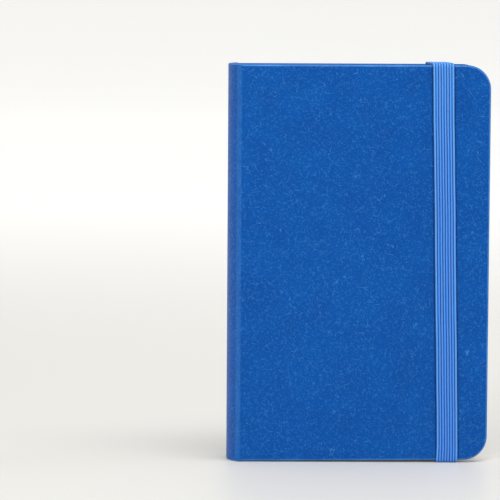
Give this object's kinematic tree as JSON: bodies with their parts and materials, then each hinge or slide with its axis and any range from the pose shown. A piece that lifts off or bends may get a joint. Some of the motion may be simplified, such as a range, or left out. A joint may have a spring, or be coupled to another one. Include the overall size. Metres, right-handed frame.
{
  "type": "pocket notebook",
  "caption": "Hardcover pocket notebook with rounded corners, a rounded spine and an elastic closure band, standing closed on its tail.",
  "frame": {"origin": "middle of the underside of the closed notebook's box, on the surface that it stands on", "axes": "+X from the spine to the fore-edge, -Y out of the front cover, +Z from tail to head"},
  "size_m": [0.0922, 0.0184, 0.1416],
  "materials": {
    "leatherette": "semi-matte fine grain",
    "greyboard": "matte",
    "page_paper": "matte",
    "endpaper": "matte",
    "card_liner": "matte",
    "gauze": "open weave",
    "thread": "waxed thread",
    "band_cloth": "fine ribbed",
    "elastic_webbing": "ribbed, slight sheen"
  },
  "bodies": {
    "book_block": {"spine_skin": "leatherette", "spine_liner": "card_liner", "spine_mull": "gauze", "section_folds": "page_paper", "sewing_thread": "thread", "head_band": "band_cloth", "tail_band": "band_cloth"},
    "front_cover": {"front_board": "greyboard", "front_cover_skin": "leatherette", "front_pastedown": "endpaper"},
    "back_cover": {"back_board": "greyboard", "back_cover_skin": "leatherette", "back_pastedown": "endpaper", "elastic_end_head": "elastic_webbing", "elastic_end_tail": "elastic_webbing"},
    "elastic": {"elastic_band": "elastic_webbing"},
    "front_flyleaf": {"front_flyleaf": "endpaper"},
    "back_flyleaf": {"back_flyleaf": "endpaper"},
    "section_01": {"section_01": "page_paper"},
    "section_02": {"section_02": "page_paper"},
    "section_03": {"section_03": "page_paper"},
    "section_04": {"section_04": "page_paper"},
    "section_05": {"section_05": "page_paper"},
    "section_06": {"section_06": "page_paper"},
    "section_07": {"section_07": "page_paper"},
    "section_08": {"section_08": "page_paper"},
    "section_09": {"section_09": "page_paper"},
    "section_10": {"section_10": "page_paper"},
    "section_11": {"section_11": "page_paper"},
    "section_12": {"section_12": "page_paper"}
  },
  "joints": [
    {"name": "front_cover_hinge", "type": "hinge", "parent": "book_block", "child": "front_cover", "pos_m": [-0.0422, -0.00841, 0.0708], "axis": [0, 0, -1], "range_deg": [0, 180]},
    {"name": "back_cover_hinge", "type": "hinge", "parent": "book_block", "child": "back_cover", "pos_m": [-0.0422, 0.00841, 0.0708], "axis": [0, 0, 1], "range_deg": [0, 180]},
    {"name": "elastic_swing", "type": "hinge", "parent": "back_cover", "child": "elastic", "pos_m": [0.0306, 0.00841, 0.0708], "axis": [0, 0, 1], "range_deg": [0, 180], "deforming": ["elastic_band"]},
    {"name": "front_flyleaf_turn", "type": "hinge", "parent": "book_block", "child": "front_flyleaf", "pos_m": [-0.0402, -0.00553, 0.0708], "axis": [0, 0, -1], "range_deg": [0, 106]},
    {"name": "back_flyleaf_turn", "type": "hinge", "parent": "book_block", "child": "back_flyleaf", "pos_m": [-0.0402, 0.00553, 0.0708], "axis": [0, 0, 1], "range_deg": [0, 106]},
    {"name": "section_01_turn", "type": "hinge", "parent": "book_block", "child": "section_01", "pos_m": [-0.03961, -0.00495, 0.0708], "axis": [0, 0, -1], "range_deg": [0, 91]},
    {"name": "section_02_turn", "type": "hinge", "parent": "book_block", "child": "section_02", "pos_m": [-0.0389, -0.00405, 0.0708], "axis": [0, 0, -1], "range_deg": [0, 76]},
    {"name": "section_03_turn", "type": "hinge", "parent": "book_block", "child": "section_03", "pos_m": [-0.03837, -0.00315, 0.0708], "axis": [0, 0, -1], "range_deg": [0, 61]},
    {"name": "section_04_turn", "type": "hinge", "parent": "book_block", "child": "section_04", "pos_m": [-0.03799, -0.00225, 0.0708], "axis": [0, 0, -1], "range_deg": [0, 46]},
    {"name": "section_05_turn", "type": "hinge", "parent": "book_block", "child": "section_05", "pos_m": [-0.03774, -0.00135, 0.0708], "axis": [0, 0, -1], "range_deg": [0, 31]},
    {"name": "section_06_turn", "type": "hinge", "parent": "book_block", "child": "section_06", "pos_m": [-0.03761, -0.00045, 0.0708], "axis": [0, 0, -1], "range_deg": [0, 16]},
    {"name": "section_07_turn", "type": "hinge", "parent": "book_block", "child": "section_07", "pos_m": [-0.03761, 0.00045, 0.0708], "axis": [0, 0, 1], "range_deg": [0, 16]},
    {"name": "section_08_turn", "type": "hinge", "parent": "book_block", "child": "section_08", "pos_m": [-0.03774, 0.00135, 0.0708], "axis": [0, 0, 1], "range_deg": [0, 31]},
    {"name": "section_09_turn", "type": "hinge", "parent": "book_block", "child": "section_09", "pos_m": [-0.03799, 0.00225, 0.0708], "axis": [0, 0, 1], "range_deg": [0, 46]},
    {"name": "section_10_turn", "type": "hinge", "parent": "book_block", "child": "section_10", "pos_m": [-0.03837, 0.00315, 0.0708], "axis": [0, 0, 1], "range_deg": [0, 61]},
    {"name": "section_11_turn", "type": "hinge", "parent": "book_block", "child": "section_11", "pos_m": [-0.0389, 0.00405, 0.0708], "axis": [0, 0, 1], "range_deg": [0, 76]},
    {"name": "section_12_turn", "type": "hinge", "parent": "book_block", "child": "section_12", "pos_m": [-0.03961, 0.00495, 0.0708], "axis": [0, 0, 1], "range_deg": [0, 91]}
  ],
  "couplings": [
    {"joint": "front_flyleaf_turn", "follows": "front_cover_hinge", "ratio": 0.58889},
    {"joint": "back_flyleaf_turn", "follows": "back_cover_hinge", "ratio": 0.58889},
    {"joint": "section_01_turn", "follows": "front_cover_hinge", "ratio": 0.50555},
    {"joint": "section_02_turn", "follows": "front_cover_hinge", "ratio": 0.42222},
    {"joint": "section_03_turn", "follows": "front_cover_hinge", "ratio": 0.33889},
    {"joint": "section_04_turn", "follows": "front_cover_hinge", "ratio": 0.25555},
    {"joint": "section_05_turn", "follows": "front_cover_hinge", "ratio": 0.17222},
    {"joint": "section_06_turn", "follows": "front_cover_hinge", "ratio": 0.088888},
    {"joint": "section_07_turn", "follows": "back_cover_hinge", "ratio": 0.088888},
    {"joint": "section_08_turn", "follows": "back_cover_hinge", "ratio": 0.17222},
    {"joint": "section_09_turn", "follows": "back_cover_hinge", "ratio": 0.25555},
    {"joint": "section_10_turn", "follows": "back_cover_hinge", "ratio": 0.33889},
    {"joint": "section_11_turn", "follows": "back_cover_hinge", "ratio": 0.42222},
    {"joint": "section_12_turn", "follows": "back_cover_hinge", "ratio": 0.50555}
  ]
}
